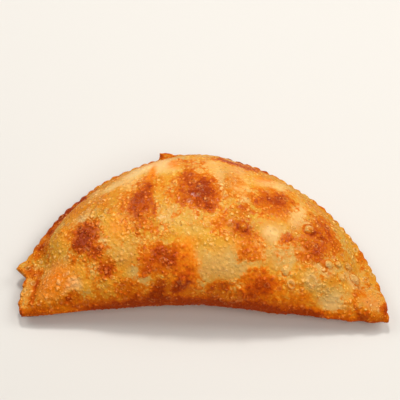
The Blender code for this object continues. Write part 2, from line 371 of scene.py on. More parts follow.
def blisters(places, spacing, share, steepness, seed):
    """Height of round blisters, one to a lattice cell at most.

    Each is steepness times radius times one less the square of distance over radius, to the power 1.5.
    """
    base = np.floor(places / spacing).astype(np.int64)
    height = np.zeros(len(places))
    for offset in np.ndindex(3, 3, 3):
        cell = base + np.array(offset) - 1
        draws = [hashed(cell[:, 0], cell[:, 1], cell[:, 2], seed + n) for n in range(5)]
        off_corner = CELL_MARGIN + (1.0 - 2.0 * CELL_MARGIN) * np.stack(draws[:3], axis=1)
        centre = (cell + off_corner) * spacing
        radius = spacing * (SMALLEST_RADIUS + RADIUS_RANGE * draws[3])
        inside = 1.0 - np.sum((places - centre) ** 2, axis=1) / radius**2
        dome = steepness * radius * np.clip(inside, 0.0, None) ** SKIN_DOME_POWER
        height = np.maximum(height, np.where(draws[4] < share, dome, 0.0))
    return height


def round_spots(places, spots, shape):
    """The largest of shape(distance / radius) times height over the named spots, on the upper face."""
    height = np.zeros(len(places))
    for x, y, radius, rise in spots:
        away = np.hypot(places[:, 0] - x, places[:, 1] - y) / radius
        height = np.maximum(height, rise * shape(away))
    return height


def dome_shape(away):
    """A blown-up skin: one less the square of the distance, to the power 0.75."""
    return np.clip(1.0 - away**2, 0.0, None) ** LARGE_DOME_POWER


def foot_shape(away):
    """The foot of a dome: a bell over the distance, just outside the radius."""
    return np.exp(-(((away - FOOT_AT) / FOOT_SPREAD) ** 2))


def ring_shape(away):
    """A burst blister: a bell over the distance, which makes a soft wall round a hollow."""
    return np.exp(-(((away - RING_AT) / RING_SPREAD) ** 2))


# Where the crust has browned. It colours first where it is thin and lifted off the filling, in patches that
# go from orange at their edge to red brown in the middle. Each row is a patch of the upper face, from left
# to right: X, Y, half length and half width in millimetres, and strength.
RAGGED_LENGTH = 0.0052
RAGGED_REACH = 1.7
NICK_LENGTH = 0.0019
NICK_REACH = 0.8
PATCH_CORE = 0.30
PATCH_END = 1.65
BROWNED = (
    (-65.5, -20.0, 3.2, 3.2, 0.40),
    (-62.3, -19.5, 1.6, 2.8, 0.45),
    (-61.6, -17.6, 2.4, 2.4, 0.40),
    (-60.5, -9.8, 2.4, 3.4, 0.38),
    (-60.0, -22.5, 1.6, 4.0, 0.30),
    (-59.9, -5.2, 2.4, 3.2, 0.34),
    (-58.2, -12.5, 2.4, 3.6, 0.16),
    (-57.4, -0.5, 2.6, 2.6, 0.75),
    (-56.0, -33.4, 6.0, 1.6, 0.16),
    (-55.4, 4.2, 2.2, 2.2, 0.90),
    (-52.2, 8.2, 1.8, 1.7, 0.95),
    (-50.5, 4.2, 2.8, 2.4, 0.26),
    (-48.5, -17.0, 3.0, 2.6, 0.28),
    (-48.0, 11.9, 1.9, 1.7, 0.95),
    (-47.6, -32.6, 2.6, 1.2, 0.55),
    (-46.6, 9.6, 2.0, 2.0, 0.30),
    (-44.0, -11.6, 4.0, 4.0, 0.85),
    (-44.0, 10.0, 2.6, 2.0, 0.26),
    (-43.0, -12.2, 6.0, 6.4, 0.60),
    (-40.7, -21.0, 2.6, 2.4, 0.34),
    (-39.3, -7.8, 2.4, 2.8, 0.36),
    (-38.5, -18.3, 3.6, 2.4, 0.66),
    (-35.2, -20.8, 2.6, 2.2, 0.36),
    (-34.8, -25.2, 3.9, 3.0, 0.80),
    (-26.3, -31.0, 3.8, 1.9, 0.46),
    (-24.9, 8.7, 2.2, 2.6, 0.40),
    (-22.9, 0.0, 3.6, 6.2, 0.62),
    (-22.8, -3.2, 5.6, 10.3, 0.62),
    (-22.6, -17.2, 3.0, 2.4, 0.22),
    (-21.3, -24.2, 3.0, 2.2, 0.50),
    (-19.9, 9.0, 2.6, 4.2, 0.62),
    (-16.0, -23.0, 8.4, 4.8, 0.68),
    (-15.7, -30.9, 4.2, 2.1, 0.75),
    (-15.0, 33.8, 3.0, 2.0, 0.40),
    (-14.3, -12.3, 3.0, 3.4, 0.12),
    (-13.6, -22.2, 4.2, 3.2, 0.62),
    (-13.6, 4.0, 2.0, 4.0, 0.25),
    (-10.6, -20.6, 2.8, 2.8, 0.32),
    (-8.2, 1.0, 3.8, 8.0, 0.44),
    (-8.0, -29.4, 2.4, 1.8, 0.85),
    (-7.5, 20.8, 4.0, 2.6, 0.36),
    (-6.0, -25.6, 4.2, 6.2, 0.46),
    (-5.6, 12.0, 2.6, 5.4, 0.66),
    (-3.2, -25.6, 2.8, 3.4, 0.32),
    (-1.6, 17.5, 2.2, 3.0, 0.25),
    (-0.8, 2.6, 7.0, 7.6, 0.64),
    (0.5, -8.6, 5.0, 2.6, 0.22),
    (0.8, 2.4, 5.4, 5.8, 0.75),
    (3.1, -12.8, 3.0, 2.6, 0.30),
    (6.0, -31.2, 3.6, 2.0, 0.56),
    (8.3, -8.6, 4.2, 4.6, 0.50),
    (10.5, 24.2, 7.5, 2.6, 0.80),
    (11.5, 8.5, 2.8, 7.0, 0.20),
    (11.5, 32.5, 7.5, 3.0, 0.90),
    (13.8, -30.2, 2.4, 1.8, 0.24),
    (14.3, -3.6, 1.9, 2.2, 0.65),
    (14.8, -22.9, 3.2, 2.4, 0.36),
    (14.8, -15.8, 2.6, 2.2, 0.28),
    (15.1, -12.4, 3.4, 4.6, 0.65),
    (17.0, -21.6, 4.8, 2.6, 0.42),
    (17.5, 21.8, 3.6, 2.4, 0.55),
    (20.5, -18.5, 5.0, 4.6, 0.32),
    (22.1, -29.8, 4.6, 2.8, 0.28),
    (22.4, -30.5, 7.6, 4.4, 0.58),
    (22.5, 28.6, 3.0, 2.0, 0.60),
    (26.0, 1.8, 9.0, 6.6, 0.56),
    (27.0, 2.6, 4.6, 3.6, 0.55),
    (29.4, -20.6, 3.6, 2.4, 0.38),
    (30.7, -16.0, 2.5, 2.5, 0.35),
    (31.9, -13.7, 2.0, 1.9, 0.60),
    (35.2, -14.4, 2.2, 3.4, 0.38),
    (37.2, -19.8, 3.0, 3.4, 0.55),
    (41.3, -17.3, 3.2, 3.2, 0.50),
    (43.6, -11.4, 7.6, 9.4, 0.56),
    (44.0, 10.6, 3.4, 2.4, 0.24),
    (45.5, -6.2, 4.2, 5.6, 0.28),
    (50.0, -12.2, 1.9, 3.0, 0.25),
    (58.5, -26.3, 2.0, 2.4, 0.45),
    (61.5, -35.2, 3.4, 1.4, 0.34),
    (61.5, -10.7, 1.9, 3.2, 0.50),
    (66.4, -25.6, 1.8, 2.6, 0.25),
    (68.0, -31.4, 1.6, 3.6, 0.80),
)

# Here the skin has only turned a strong, oily orange.
GLOWING = (
    (-57.0, 1.4, 3.0, 4.0, 0.50),
    (-54.4, -26.2, 7.8, 7.0, 0.88),
    (-50.7, -8.0, 3.0, 5.0, 0.35),
    (-47.5, 4.6, 5.0, 4.4, 0.50),
    (-46.5, -0.7, 3.0, 3.0, 0.40),
    (-37.9, 4.3, 3.2, 3.8, 0.45),
    (-33.0, 18.5, 5.0, 2.4, 0.40),
    (-30.7, -11.0, 3.8, 4.6, 0.45),
    (-23.0, 24.2, 7.0, 2.2, 0.45),
    (-18.7, 15.1, 1.9, 5.4, 0.90),
    (-10.1, 20.1, 2.4, 2.6, 0.70),
    (-6.0, -25.2, 4.8, 6.8, 0.93),
    (6.4, -10.1, 5.0, 3.8, 0.55),
    (12.1, 8.2, 3.0, 6.4, 0.50),
    (16.8, -19.2, 5.0, 2.6, 0.75),
    (23.6, 15.3, 3.4, 2.4, 0.50),
    (36.2, -32.0, 3.6, 1.4, 0.60),
    (62.7, -29.2, 5.0, 5.4, 0.35),
)

# Here the dough stayed light. Pale dough is greyish and flat, creamy dough is lighter still, and golden
# dough is an even yellow. Along the back of the top, the creamy patches also stand for the light falling
# there: painted light.
PALE = (
    (-28.8, -20.0, 4.6, 4.4, 0.30),
    (-22.6, -27.4, 3.6, 2.8, 0.80),
    (-10.3, -6.8, 3.4, 3.4, 0.60),
    (-3.0, -14.5, 4.0, 3.0, 0.30),
    (-2.0, -9.0, 4.0, 5.0, 0.40),
    (-1.6, -22.6, 2.0, 2.6, 0.40),
    (-0.6, -28.4, 2.6, 2.4, 0.55),
    (7.8, -24.6, 8.6, 5.2, 0.68),
    (15.8, -26.6, 3.0, 2.4, 0.60),
    (20.6, -22.0, 4.0, 3.0, 0.50),
    (25.0, -15.4, 4.6, 2.6, 0.45),
    (26.4, -11.5, 6.0, 4.4, 0.60),
    (29.4, -21.4, 4.0, 3.0, 0.60),
    (34.0, -19.0, 8.0, 3.0, 0.60),
    (40.5, -26.7, 3.6, 2.8, 0.60),
    (48.8, -29.9, 6.2, 3.0, 0.60),
)
CREAMY_AND_LIT = (
    (-65.5, -24.0, 3.4, 7.0, 0.18),
    (-56.0, -24.5, 4.5, 5.5, 0.45),
    (-47.2, -28.4, 3.4, 2.4, 0.80),
    (-46.2, -6.8, 2.4, 2.2, 0.40),
    (-44.2, -5.0, 3.0, 2.2, 0.60),
    (-41.5, 9.6, 3.2, 2.6, 0.45),
    (-37.0, -15.2, 1.8, 1.8, 0.50),
    (-33.2, 12.2, 4.0, 2.8, 0.55),
    (-27.0, 11.0, 4.0, 5.0, 0.40),
    (-27.0, 16.6, 4.6, 3.0, 0.80),
    (-21.5, 20.0, 4.6, 3.4, 0.55),
    (-17.0, 20.6, 7.4, 6.4, 0.72),
    (-3.3, 12.8, 2.6, 3.0, 0.30),
    (3.0, 17.5, 5.0, 4.0, 0.30),
    (3.6, 7.6, 2.8, 2.4, 0.30),
    (5.2, 10.5, 3.2, 4.0, 0.45),
    (6.4, 4.6, 3.0, 4.0, 0.55),
    (13.0, 16.0, 4.0, 6.0, 0.30),
    (14.6, 6.4, 3.0, 3.0, 0.40),
    (15.6, 0.6, 2.5, 2.4, 0.50),
    (25.4, -12.2, 3.0, 3.0, 0.60),
    (26.5, 12.8, 5.0, 3.0, 0.50),
    (35.5, -3.0, 2.6, 5.2, 0.50),
    (36.6, 0.8, 2.6, 2.6, 0.35),
    (41.0, -5.2, 2.8, 2.2, 0.62),
    (45.8, -21.6, 3.0, 2.4, 0.50),
    (48.5, -32.0, 4.6, 2.0, 0.45),
    (56.8, -23.0, 3.0, 3.0, 0.50),
    (63.2, -30.0, 4.2, 4.0, 0.35),
)
GOLDEN = (
    (-55.0, -12.0, 4.0, 5.0, 0.15),
    (-34.0, -8.0, 5.0, 6.0, 0.45),
    (-30.0, -14.5, 4.0, 3.0, 0.40),
    (-24.3, -12.6, 3.0, 3.0, 0.50),
    (-18.0, -13.4, 3.4, 2.4, 0.45),
    (-10.0, 12.0, 4.0, 5.0, 0.35),
    (-8.5, -16.8, 3.2, 2.4, 0.55),
    (-6.5, -6.0, 5.0, 6.0, 0.50),
    (0.5, -12.0, 8.0, 8.0, 0.75),
    (20.0, -5.0, 4.0, 6.0, 0.50),
    (40.0, -20.0, 4.0, 2.5, 0.60),
    (54.0, -6.5, 3.0, 5.0, 0.55),
)

# Here the skin has fewer beads than elsewhere, and then more of them.
SMOOTH = (
    (-18.0, -22.5, 6.0, 5.0, 0.50),
    (-6.0, -24.5, 4.6, 7.0, 0.48),
    (22.4, -30.0, 8.0, 5.0, 0.60),
)
BUBBLY = (
    (-54.0, -26.5, 8.0, 7.0, 0.50),
    (-42.0, 1.0, 9.0, 7.0, 0.60),
    (9.5, 9.0, 4.5, 8.0, 0.50),
    (16.0, -7.0, 5.0, 9.0, 0.40),
    (43.0, -10.0, 9.0, 10.0, 0.40),
    (46.0, -28.0, 8.0, 3.0, 0.50),
    (52.0, -19.5, 8.0, 5.0, 0.70),
    (63.0, -29.0, 6.0, 6.0, 0.60),
)


def patches(places, spots):
    """Strength from 0 to 1 of round patches with ragged edges, full in the middle and gone outside.

    Each leaves one less its strength times a smooth fall over the distance in half sizes, and where patches
    overlap, what they leave is multiplied. Two sizes of noise move X and Y, which makes the edges ragged.
    """
    mm = places * 1000.0
    ragged_x = RAGGED_REACH * soft_noise(places, RAGGED_LENGTH, 71)
    ragged_x = ragged_x + NICK_REACH * soft_noise(places, NICK_LENGTH, 73)
    ragged_y = RAGGED_REACH * soft_noise(places, RAGGED_LENGTH, 79)
    ragged_y = ragged_y + NICK_REACH * soft_noise(places, NICK_LENGTH, 83)
    clear = np.ones(len(places))
    for x, y, half_length, half_width, strength in spots:
        away = np.hypot((mm[:, 0] + ragged_x - x) / half_length, (mm[:, 1] + ragged_y - y) / half_width)
        clear = clear * (1.0 - strength * (1.0 - ease(away, PATCH_CORE, PATCH_END)))
    return 1.0 - clear


# Everything that stands out of the smooth form is added along the way each point faces. On the lip the skin
# is held down, so the blisters there are lower, and pale skin has fewer of them. What would reach below the
# table is pressed flat, which makes the spot that the pastry rests on.
facing = facing_of(points)
on_body = ease(from_rim, LIP_WIDTH, LIP_WIDTH + BODY_BLEND)
off_fold = ease(from_fold, 0.0, LUMP_LENGTH)
top = np.where(upper, 1.0, 0.0)
browned = patches(points, BROWNED) * top
glowing = patches(points, GLOWING) * top
golden = patches(points, GOLDEN) * top
pale = patches(points, PALE) * top
creamy_and_lit = patches(points, CREAMY_AND_LIT) * top

skin = np.zeros(len(points))
for spacing, share, steepness, seed in SKIN_BLISTERS:
    coloured = np.clip(browned + 0.5 * glowing, 0.0, 1.0)
    crowd = share * (PLAIN_CROWD + BROWNED_CROWD * coloured - PALE_CROWD * pale)
    skin = np.maximum(skin, blisters(points, spacing, crowd, steepness, seed))
coarse = blisters(points, COARSE_SPACING, COARSE_SHARE, COARSE_STEEPNESS, BLISTER_SEED)
named = round_spots(points, LARGE_BLISTERS, dome_shape) * top
dome_top_highlight = np.clip(named / DOME_TOP_HEIGHT, 0.0, 1.0)
rings = round_spots(points, BURST_BLISTERS, ring_shape) * top
ring_crest_highlight = np.clip(rings / CREST_HEIGHT, 0.0, 1.0)
x, y, half_length, half_width, rise = END_LOBE
from_lobe = np.hypot((points[:, 0] - x) / half_length, (points[:, 1] - y) / half_width)
lobe = rise * dome_shape(from_lobe) * top

relief = LUMP_HEIGHT * on_body * off_fold * soft_noise(points, LUMP_LENGTH, BLISTER_SEED)
relief = relief + WAVE_HEIGHT * soft_noise(points, WAVE_LENGTH, 19)
relief = relief + coarse * (LIP_COARSE + (1.0 - LIP_COARSE) * on_body) + lobe
relief = relief + np.maximum(skin * (LIP_SKIN + (1.0 - LIP_SKIN) * on_body), named) + rings
points = points + facing * relief[:, None]
pressed_up = np.clip(points[:, 2] + REST_BLEND, 0.0, None) ** 2 / (4.0 * REST_BLEND)
points[:, 2] = np.where(points[:, 2] > REST_BLEND, points[:, 2], pressed_up)
points[:, 2] = np.where(points[:, 2] < REST_FLAT, 0.0, points[:, 2])

# How brown the skin is, from 0 for golden dough to 1 for red brown, with painted shade and painted highlight
# mixed in. The fold is darker along its lower edge, most of all on the left, and fades upwards: partly its
# own browning and partly painted shade under the fold. The rim is browner in single beads. The crease where
# the flap of the left end meets the body is darker with painted shade. Blisters are a shade browner than the
# skin between them. The end lobe and the named blisters carry painted shade at their foot, and the named
# ones a painted highlight on top.
FOLD_BROWNER = (0.032, 0.062)
LEFT_TIP = (-0.058, -0.028)
FOLD_EDGE_WIDTH = 0.0034
BROWNER_EDGE_WIDTH = 0.0022
FOLD_UNEVEN_LENGTH = 0.0110
FOLD_FADE = (0.002, 0.016)
RIM_EDGE_WIDTH = 0.0030
RIM_UNEVEN_LENGTH = 0.0060
BACK_LIP_REACH = (0.8 * LIP_WIDTH, 1.7 * LIP_WIDTH)
BACK_LIP_RIGHT = (1.0, 1.25)
BACK_LIP_LEFT = (2.70, 2.85)
BACK_LIP_BEAD_LENGTH = 0.0028
CREASE_WIDTH = 0.0013
CREASE_BEAD_LENGTH = 0.0030
CREASE_FROM = (2.84, 2.93)
CREASE_OFF_FOLD = (0.001, 0.006)
LOBE_FOOT_SPREAD = 0.16
LOBE_OFF_RIM = (0.002, 0.006)
FOOT_HEIGHT = 0.001
CLOUD_LENGTH = 0.0075
FLECK_LENGTH = 0.0024
UNDERSIDE_TOAST = 0.35
raised = np.clip((np.maximum(skin, named) + rings) / CREST_HEIGHT, 0.0, 1.0)
grid = points[:STATIONS * rows].reshape(STATIONS, rows, 3)
steps = np.linalg.norm(np.roll(grid, -1, axis=1) - grid, axis=2)
over_top = np.concatenate([np.zeros((STATIONS, 1)), np.cumsum(steps, axis=1)[:, :-1]], axis=1)
over_skin = np.minimum(over_top, np.sum(steps, axis=1, keepdims=True) - over_top)
over_skin = np.concatenate([over_skin.ravel(), [0.0, 0.0]])
# The dark band along the fold is partly its own browning and partly painted shade under the fold.
fold_browner = 1.0 - ease(points[:, 0], *FOLD_BROWNER)
off_left_tip = ease(points[:, 0], *LEFT_TIP)
edge_width = FOLD_EDGE_WIDTH + BROWNER_EDGE_WIDTH * fold_browner
fold_edge_brown_and_shade = (1.0 - ease(over_skin, 0.0, edge_width)) * (0.32 + 0.36 * fold_browner * off_left_tip)
fold_edge_brown_and_shade = fold_edge_brown_and_shade * (1.0 + 0.35 * soft_noise(points, FOLD_UNEVEN_LENGTH, 53))
fold_fade_brown_and_shade = (1.0 - ease(over_skin, *FOLD_FADE)) * (0.17 + 0.19 * fold_browner * off_left_tip)
rim_edge = 0.08 + 0.28 * soft_noise(points, RIM_UNEVEN_LENGTH, 23) + 0.06 * lobes
rim_edge = np.clip((1.0 - ease(from_rim, 0.0, RIM_EDGE_WIDTH)) * rim_edge, 0.0, 1.0)
angle = np.arctan2(points[:, 1] + BOX_MIDDLE[1], points[:, 0] + BOX_MIDDLE[0])
back_lip = (1.0 - ease(from_rim, *BACK_LIP_REACH)) * ease(angle, *BACK_LIP_RIGHT)
back_lip = back_lip * (1.0 - ease(angle, *BACK_LIP_LEFT))
back_lip = back_lip * np.clip(0.18 + 0.45 * soft_noise(points, BACK_LIP_BEAD_LENGTH, 41), 0.0, 1.0)
# Painted shade in the crease where the flap of the left end meets the body.
crease_shade = np.exp(-(((from_rim - LEFT_LIP_WIDTH) / CREASE_WIDTH) ** 2)) * ease(angle, *CREASE_FROM) * top
crease_shade = crease_shade * ease(from_fold, *CREASE_OFF_FOLD)
crease_shade = crease_shade * (0.40 + 0.20 * soft_noise(points, CREASE_BEAD_LENGTH, 43))
# Painted shade at the foot of the end lobe and of the named blisters.
lobe_foot_shade = np.exp(-(((from_lobe - FOOT_AT) / LOBE_FOOT_SPREAD) ** 2)) * top * ease(from_rim, *LOBE_OFF_RIM)
feet_shade = round_spots(points, LARGE_BLISTERS, foot_shape) / FOOT_HEIGHT * top
half_browned = ease(browned, 0.05, 0.4) * (1.0 - ease(browned, 0.6, 1.0))
toast_and_painted_light = browned + fold_edge_brown_and_shade + fold_fade_brown_and_shade + rim_edge + back_lip + crease_shade - 0.25 * creamy_and_lit - 0.20 * pale
toast_and_painted_light = toast_and_painted_light + 0.10 * soft_noise(points, CLOUD_LENGTH, 29) + 0.10 * soft_noise(points, FLECK_LENGTH, 37)
toast_and_painted_light = toast_and_painted_light + 0.30 * (raised - 0.45) * half_browned
# The tops of the named blisters are made lighter: painted highlight.
toast_and_painted_light = toast_and_painted_light + 0.30 * lobe_foot_shade + 0.30 * feet_shade - 0.45 * dome_top_highlight
underside = UNDERSIDE_TOAST + fold_edge_brown_and_shade + 0.12 * soft_noise(points, CLOUD_LENGTH, 29)
toast_and_painted_light = np.where(upper, toast_and_painted_light, underside)

# The other layers that the material reads from the mesh. The tops of the named blisters and the crests of
# burst ones get a painted highlight as light as creamy dough, beads crowd near the rim, and the oil film has
# run off the sides and stays on top.
OIL_FROM = 0.014
OIL_TO = 0.025
LEAST_OIL = 0.04
OIL_ON_TOP = 0.22
RIM_BEADS = (0.003, 0.015)
# The creamy layer also takes painted highlights on the named blister tops and on the crests of rings.
light = np.maximum(creamy_and_lit, np.maximum(0.35 * dome_top_highlight, 0.50 * ring_crest_highlight))
oil_film = LEAST_OIL + OIL_ON_TOP * ease(points[:, 2], OIL_FROM, OIL_TO)
bubbly = 0.6 + 0.6 * browned - 0.3 * glowing - 0.4 * pale - 0.4 * creamy_and_lit
bubbly = bubbly + 0.60 * (1.0 - ease(from_rim, *RIM_BEADS))
bubbly = bubbly + (patches(points, BUBBLY) - patches(points, SMOOTH)) * top

crust_mesh = make_mesh("crust", points, corners, sides)
for name, values in (
    ("toast_and_painted_light", toast_and_painted_light),
    ("glowing", glowing),
    ("golden", golden),
    ("pale", pale),
    ("oil_film", oil_film),
    ("creamy_and_lit", light),
    ("bubbly", np.clip(bubbly, 0.1, 1.2)),
):
    layer = crust_mesh.attributes.new(name, "FLOAT", "POINT")
    layer.data.foreach_set("value", values.astype(np.float32))
crust = bpy.data.objects.new("crust", crust_mesh)
bpy.context.scene.collection.objects.link(crust)


# The finish of the crust: fried wheat dough. The oil leaves it golden and a little translucent, under a
# thin wet film that glints on each bubble. The skin is beaded with bubbles of 0.5 to 2 mm, lighter on top
# with a painted highlight and darker between them with painted shade, and the smallest are drawn 1 mm wide,
# which is the least that shows.
BEAD_PITCH = 0.0020
GRAIN_PITCH = 0.0010
RING_PITCH = 0.0032
HOLE_PITCH = 0.0023
SPECKLE_PITCH = 0.0013
CLOUD_PITCH = 0.0070
BEND_PITCH = 0.0014
BEND_REACH = 0.0013


def linear(code):
    """An sRGB hex colour as linear red, green, blue and alpha."""
    parts = [int(code[n:n + 2], 16) / 255.0 for n in (1, 3, 5)]
    return [v / 12.92 if v <= 0.04045 else ((v + 0.055) / 1.055) ** 2.4 for v in parts] + [1.0]


def add_node(tree, kind, links=None, **settings):
    """A node with its settings; an input is set or linked by its name or number."""
    node = tree.nodes.new(kind)
    for name, value in settings.items():
        setattr(node, name, value)
    for key, value in (links or {}).items():
        socket = node.inputs[key]
        if isinstance(value, bpy.types.NodeSocket):
            tree.links.new(value, socket)
        else:
            socket.default_value = value
    return node


fried_dough = bpy.data.materials.new("fried wheat dough")
fried_dough.use_nodes = True
tree = fried_dough.node_tree
shader = tree.nodes["Principled BSDF"]
where = add_node(tree, "ShaderNodeTexCoord").outputs["Object"]
toast_and_painted_light, glowing, golden, pale, creamy_and_lit, bubbly, oil_film = [
    add_node(tree, "ShaderNodeAttribute", attribute_name=name).outputs["Fac"]
    for name in ("toast_and_painted_light", "glowing", "golden", "pale", "creamy_and_lit", "bubbly", "oil_film")
]

# Beads of two sizes, bent out of round by noise. Each takes its own tone, which also makes it wider or
# narrower, and its height runs from 1 in the middle to 0 at its edge.
bend = add_node(tree, "ShaderNodeTexNoise", {"Vector": where, "Scale": 1.0 / BEND_PITCH}).outputs["Color"]
bent = add_node(tree, "ShaderNodeVectorMath", {0: bend, 1: (BEND_REACH, BEND_REACH, BEND_REACH), 2: where},
                operation="MULTIPLY_ADD").outputs[0]
sizes_of_bead = []
for pitch, edge in ((BEAD_PITCH, 0.32), (GRAIN_PITCH, 0.34)):
    cells = add_node(tree, "ShaderNodeTexVoronoi", {"Vector": bent, "Scale": 1.0 / pitch})
    tone = add_node(tree, "ShaderNodeSeparateColor", {0: cells.outputs["Color"]}).outputs[0]
    reach = add_node(tree, "ShaderNodeMath", {0: tone, 1: -0.35, 2: cells.outputs["Distance"]},
                     operation="MULTIPLY_ADD").outputs[0]
    rise = add_node(tree, "ShaderNodeMapRange", {0: reach, 1: -0.25, 2: edge, 3: 1.0, 4: 0.0},
                    interpolation_type="SMOOTHSTEP").outputs[0]
    sizes_of_bead.append((rise, tone))
(bead, bead_tone), (grain, grain_tone) = sizes_of_bead
speckle = add_node(tree, "ShaderNodeTexNoise",
                   {"Vector": where, "Scale": 1.0 / SPECKLE_PITCH, "Detail": 3.0,
                    "Roughness": 0.65}).outputs["Fac"]
cloud = add_node(tree, "ShaderNodeTexNoise",
                 {"Vector": where, "Scale": 1.0 / CLOUD_PITCH, "Detail": 3.0}).outputs["Fac"]

# Some bubbles of 1.5 to 3 mm have fallen in and left a ring, which seldom closes.
bubbles = add_node(tree, "ShaderNodeTexVoronoi", {"Vector": bent, "Scale": 1.0 / RING_PITCH})
bubble_kind = add_node(tree, "ShaderNodeSeparateColor", {0: bubbles.outputs["Color"]})
from_crest = add_node(tree, "ShaderNodeMath",
                      {0: bubble_kind.outputs[0], 1: -0.16, 2: bubbles.outputs["Distance"]},
                      operation="MULTIPLY_ADD").outputs[0]
from_crest = add_node(tree, "ShaderNodeMath", {0: from_crest, 1: 0.18}, operation="SUBTRACT").outputs[0]
fallen_in = add_node(tree, "ShaderNodeMapRange",
                     {0: bubble_kind.outputs[1], 1: 0.40, 2: 0.60, 3: 0.0, 4: 1.0}).outputs[0]
fallen_in = add_node(tree, "ShaderNodeMath", {0: fallen_in, 1: bubbly}, operation="MULTIPLY").outputs[0]
hollow_part = add_node(tree, "ShaderNodeMapRange", {0: from_crest, 1: -0.12, 2: 0.0, 3: 1.0, 4: 0.0},
                       interpolation_type="SMOOTHSTEP").outputs[0]
hollow_part = add_node(tree, "ShaderNodeMath", {0: hollow_part, 1: fallen_in},
                       operation="MULTIPLY").outputs[0]
off_crest = add_node(tree, "ShaderNodeMath", {0: from_crest}, operation="ABSOLUTE").outputs[0]
crest = add_node(tree, "ShaderNodeMapRange", {0: off_crest, 1: 0.0, 2: 0.13, 3: 1.0, 4: 0.0},
                 interpolation_type="SMOOTHSTEP").outputs[0]
crest = add_node(tree, "ShaderNodeMath", {0: crest, 1: fallen_in}, operation="MULTIPLY").outputs[0]
unbroken = add_node(tree, "ShaderNodeMapRange", {0: speckle, 1: 0.40, 2: 0.56, 3: 0.15, 4: 1.0}).outputs[0]
crest = add_node(tree, "ShaderNodeMath", {0: crest, 1: unbroken}, operation="MULTIPLY").outputs[0]

# Pinholes where the steam went out, about 0.5 mm wide.
holes = add_node(tree, "ShaderNodeTexVoronoi", {"Vector": where, "Scale": 1.0 / HOLE_PITCH})
hole_kind = add_node(tree, "ShaderNodeSeparateColor", {0: holes.outputs["Color"]}).outputs[1]
hole = add_node(tree, "ShaderNodeMapRange",
                {0: holes.outputs["Distance"], 1: 0.10, 2: 0.20, 3: 1.0, 4: 0.0},
                interpolation_type="SMOOTHSTEP").outputs[0]
is_open = add_node(tree, "ShaderNodeMapRange", {0: hole_kind, 1: 0.50, 2: 0.70, 3: 0.0, 4: 1.0}).outputs[0]
hole = add_node(tree, "ShaderNodeMath", {0: hole, 1: is_open}, operation="MULTIPLY").outputs[0]

# Golden dough, lighter and darker in clouds, grey or creamy where it stayed pale, orange where it is oily.
# The creamy layer also holds painted light along the back of the top and painted highlights on blister tops
# and ring crests.
dough_tone = add_node(tree, "ShaderNodeMath", {0: cloud, 1: 1.6, 2: -0.3},
                      operation="MULTIPLY_ADD").outputs[0]
dough_tone = add_node(tree, "ShaderNodeMath", {0: speckle, 1: 0.9, 2: dough_tone},
                      operation="MULTIPLY_ADD").outputs[0]
dough_tone = add_node(tree, "ShaderNodeMath", {0: dough_tone, 1: 0.45}, operation="SUBTRACT").outputs[0]
dough = add_node(tree, "ShaderNodeValToRGB", {"Fac": dough_tone})
dough.color_ramp.elements[0].position = 0.15
dough.color_ramp.elements[0].color = linear("#e4b25e")
dough.color_ramp.elements[1].position = 0.90
dough.color_ramp.elements[1].color = linear("#e0861c")
dough.color_ramp.elements.new(0.45).color = linear("#e69f30")
gilded = add_node(tree, "ShaderNodeMix",
                  {"Factor": golden, 6: dough.outputs["Color"], 7: linear("#e8ae38")},
                  data_type="RGBA").outputs[2]
undercooked = add_node(tree, "ShaderNodeMix", {"Factor": pale, 6: gilded, 7: linear("#cda15a")},
                       data_type="RGBA").outputs[2]
undercooked = add_node(tree, "ShaderNodeMix", {"Factor": creamy_and_lit, 6: undercooked, 7: linear("#f0c683")},
                       data_type="RGBA").outputs[2]
oily = add_node(tree, "ShaderNodeMath", {0: speckle, 1: 1.2, 2: 0.4}, operation="MULTIPLY_ADD").outputs[0]
oily = add_node(tree, "ShaderNodeMath", {0: oily, 1: glowing},
                operation="MULTIPLY", use_clamp=True).outputs[0]
skin_colour = add_node(tree, "ShaderNodeMix", {"Factor": oily, 6: undercooked, 7: linear("#f27e08")},
                       data_type="RGBA").outputs[2]

# Browning goes from orange to red brown and varies from bead to bead. It is also deeper between the beads,
# which is painted shade.
mottle = add_node(tree, "ShaderNodeMath", {0: bead_tone, 1: 0.30, 2: toast_and_painted_light},
                  operation="MULTIPLY_ADD").outputs[0]
mottle = add_node(tree, "ShaderNodeMath", {0: speckle, 1: 0.60, 2: mottle},
                  operation="MULTIPLY_ADD").outputs[0]
# Darker between the beads: painted shade.
mottle = add_node(tree, "ShaderNodeMath", {0: bead, 1: -0.16, 2: mottle},
                  operation="MULTIPLY_ADD").outputs[0]
mottle = add_node(tree, "ShaderNodeMath", {0: grain, 1: -0.12, 2: mottle},
                  operation="MULTIPLY_ADD").outputs[0]
mottle = add_node(tree, "ShaderNodeMath", {0: mottle, 1: 0.33}, operation="SUBTRACT").outputs[0]
brown = add_node(tree, "ShaderNodeValToRGB", {"Fac": mottle})
brown.color_ramp.elements[0].position = 0.15
brown.color_ramp.elements[0].color = linear("#ea8a1a")
brown.color_ramp.elements[1].position = 1.0
brown.color_ramp.elements[1].color = linear("#a83a02")
brown.color_ramp.elements.new(0.42).color = linear("#e0740a")
brown.color_ramp.elements.new(0.70).color = linear("#cc5606")
cover = add_node(tree, "ShaderNodeMapRange", {0: mottle, 1: 0.08, 2: 0.42, 3: 0.0, 4: 1.0},
                 interpolation_type="SMOOTHSTEP").outputs[0]
colour = add_node(tree, "ShaderNodeMix", {"Factor": cover, 6: skin_colour, 7: brown.outputs["Color"]},
                  data_type="RGBA").outputs[2]

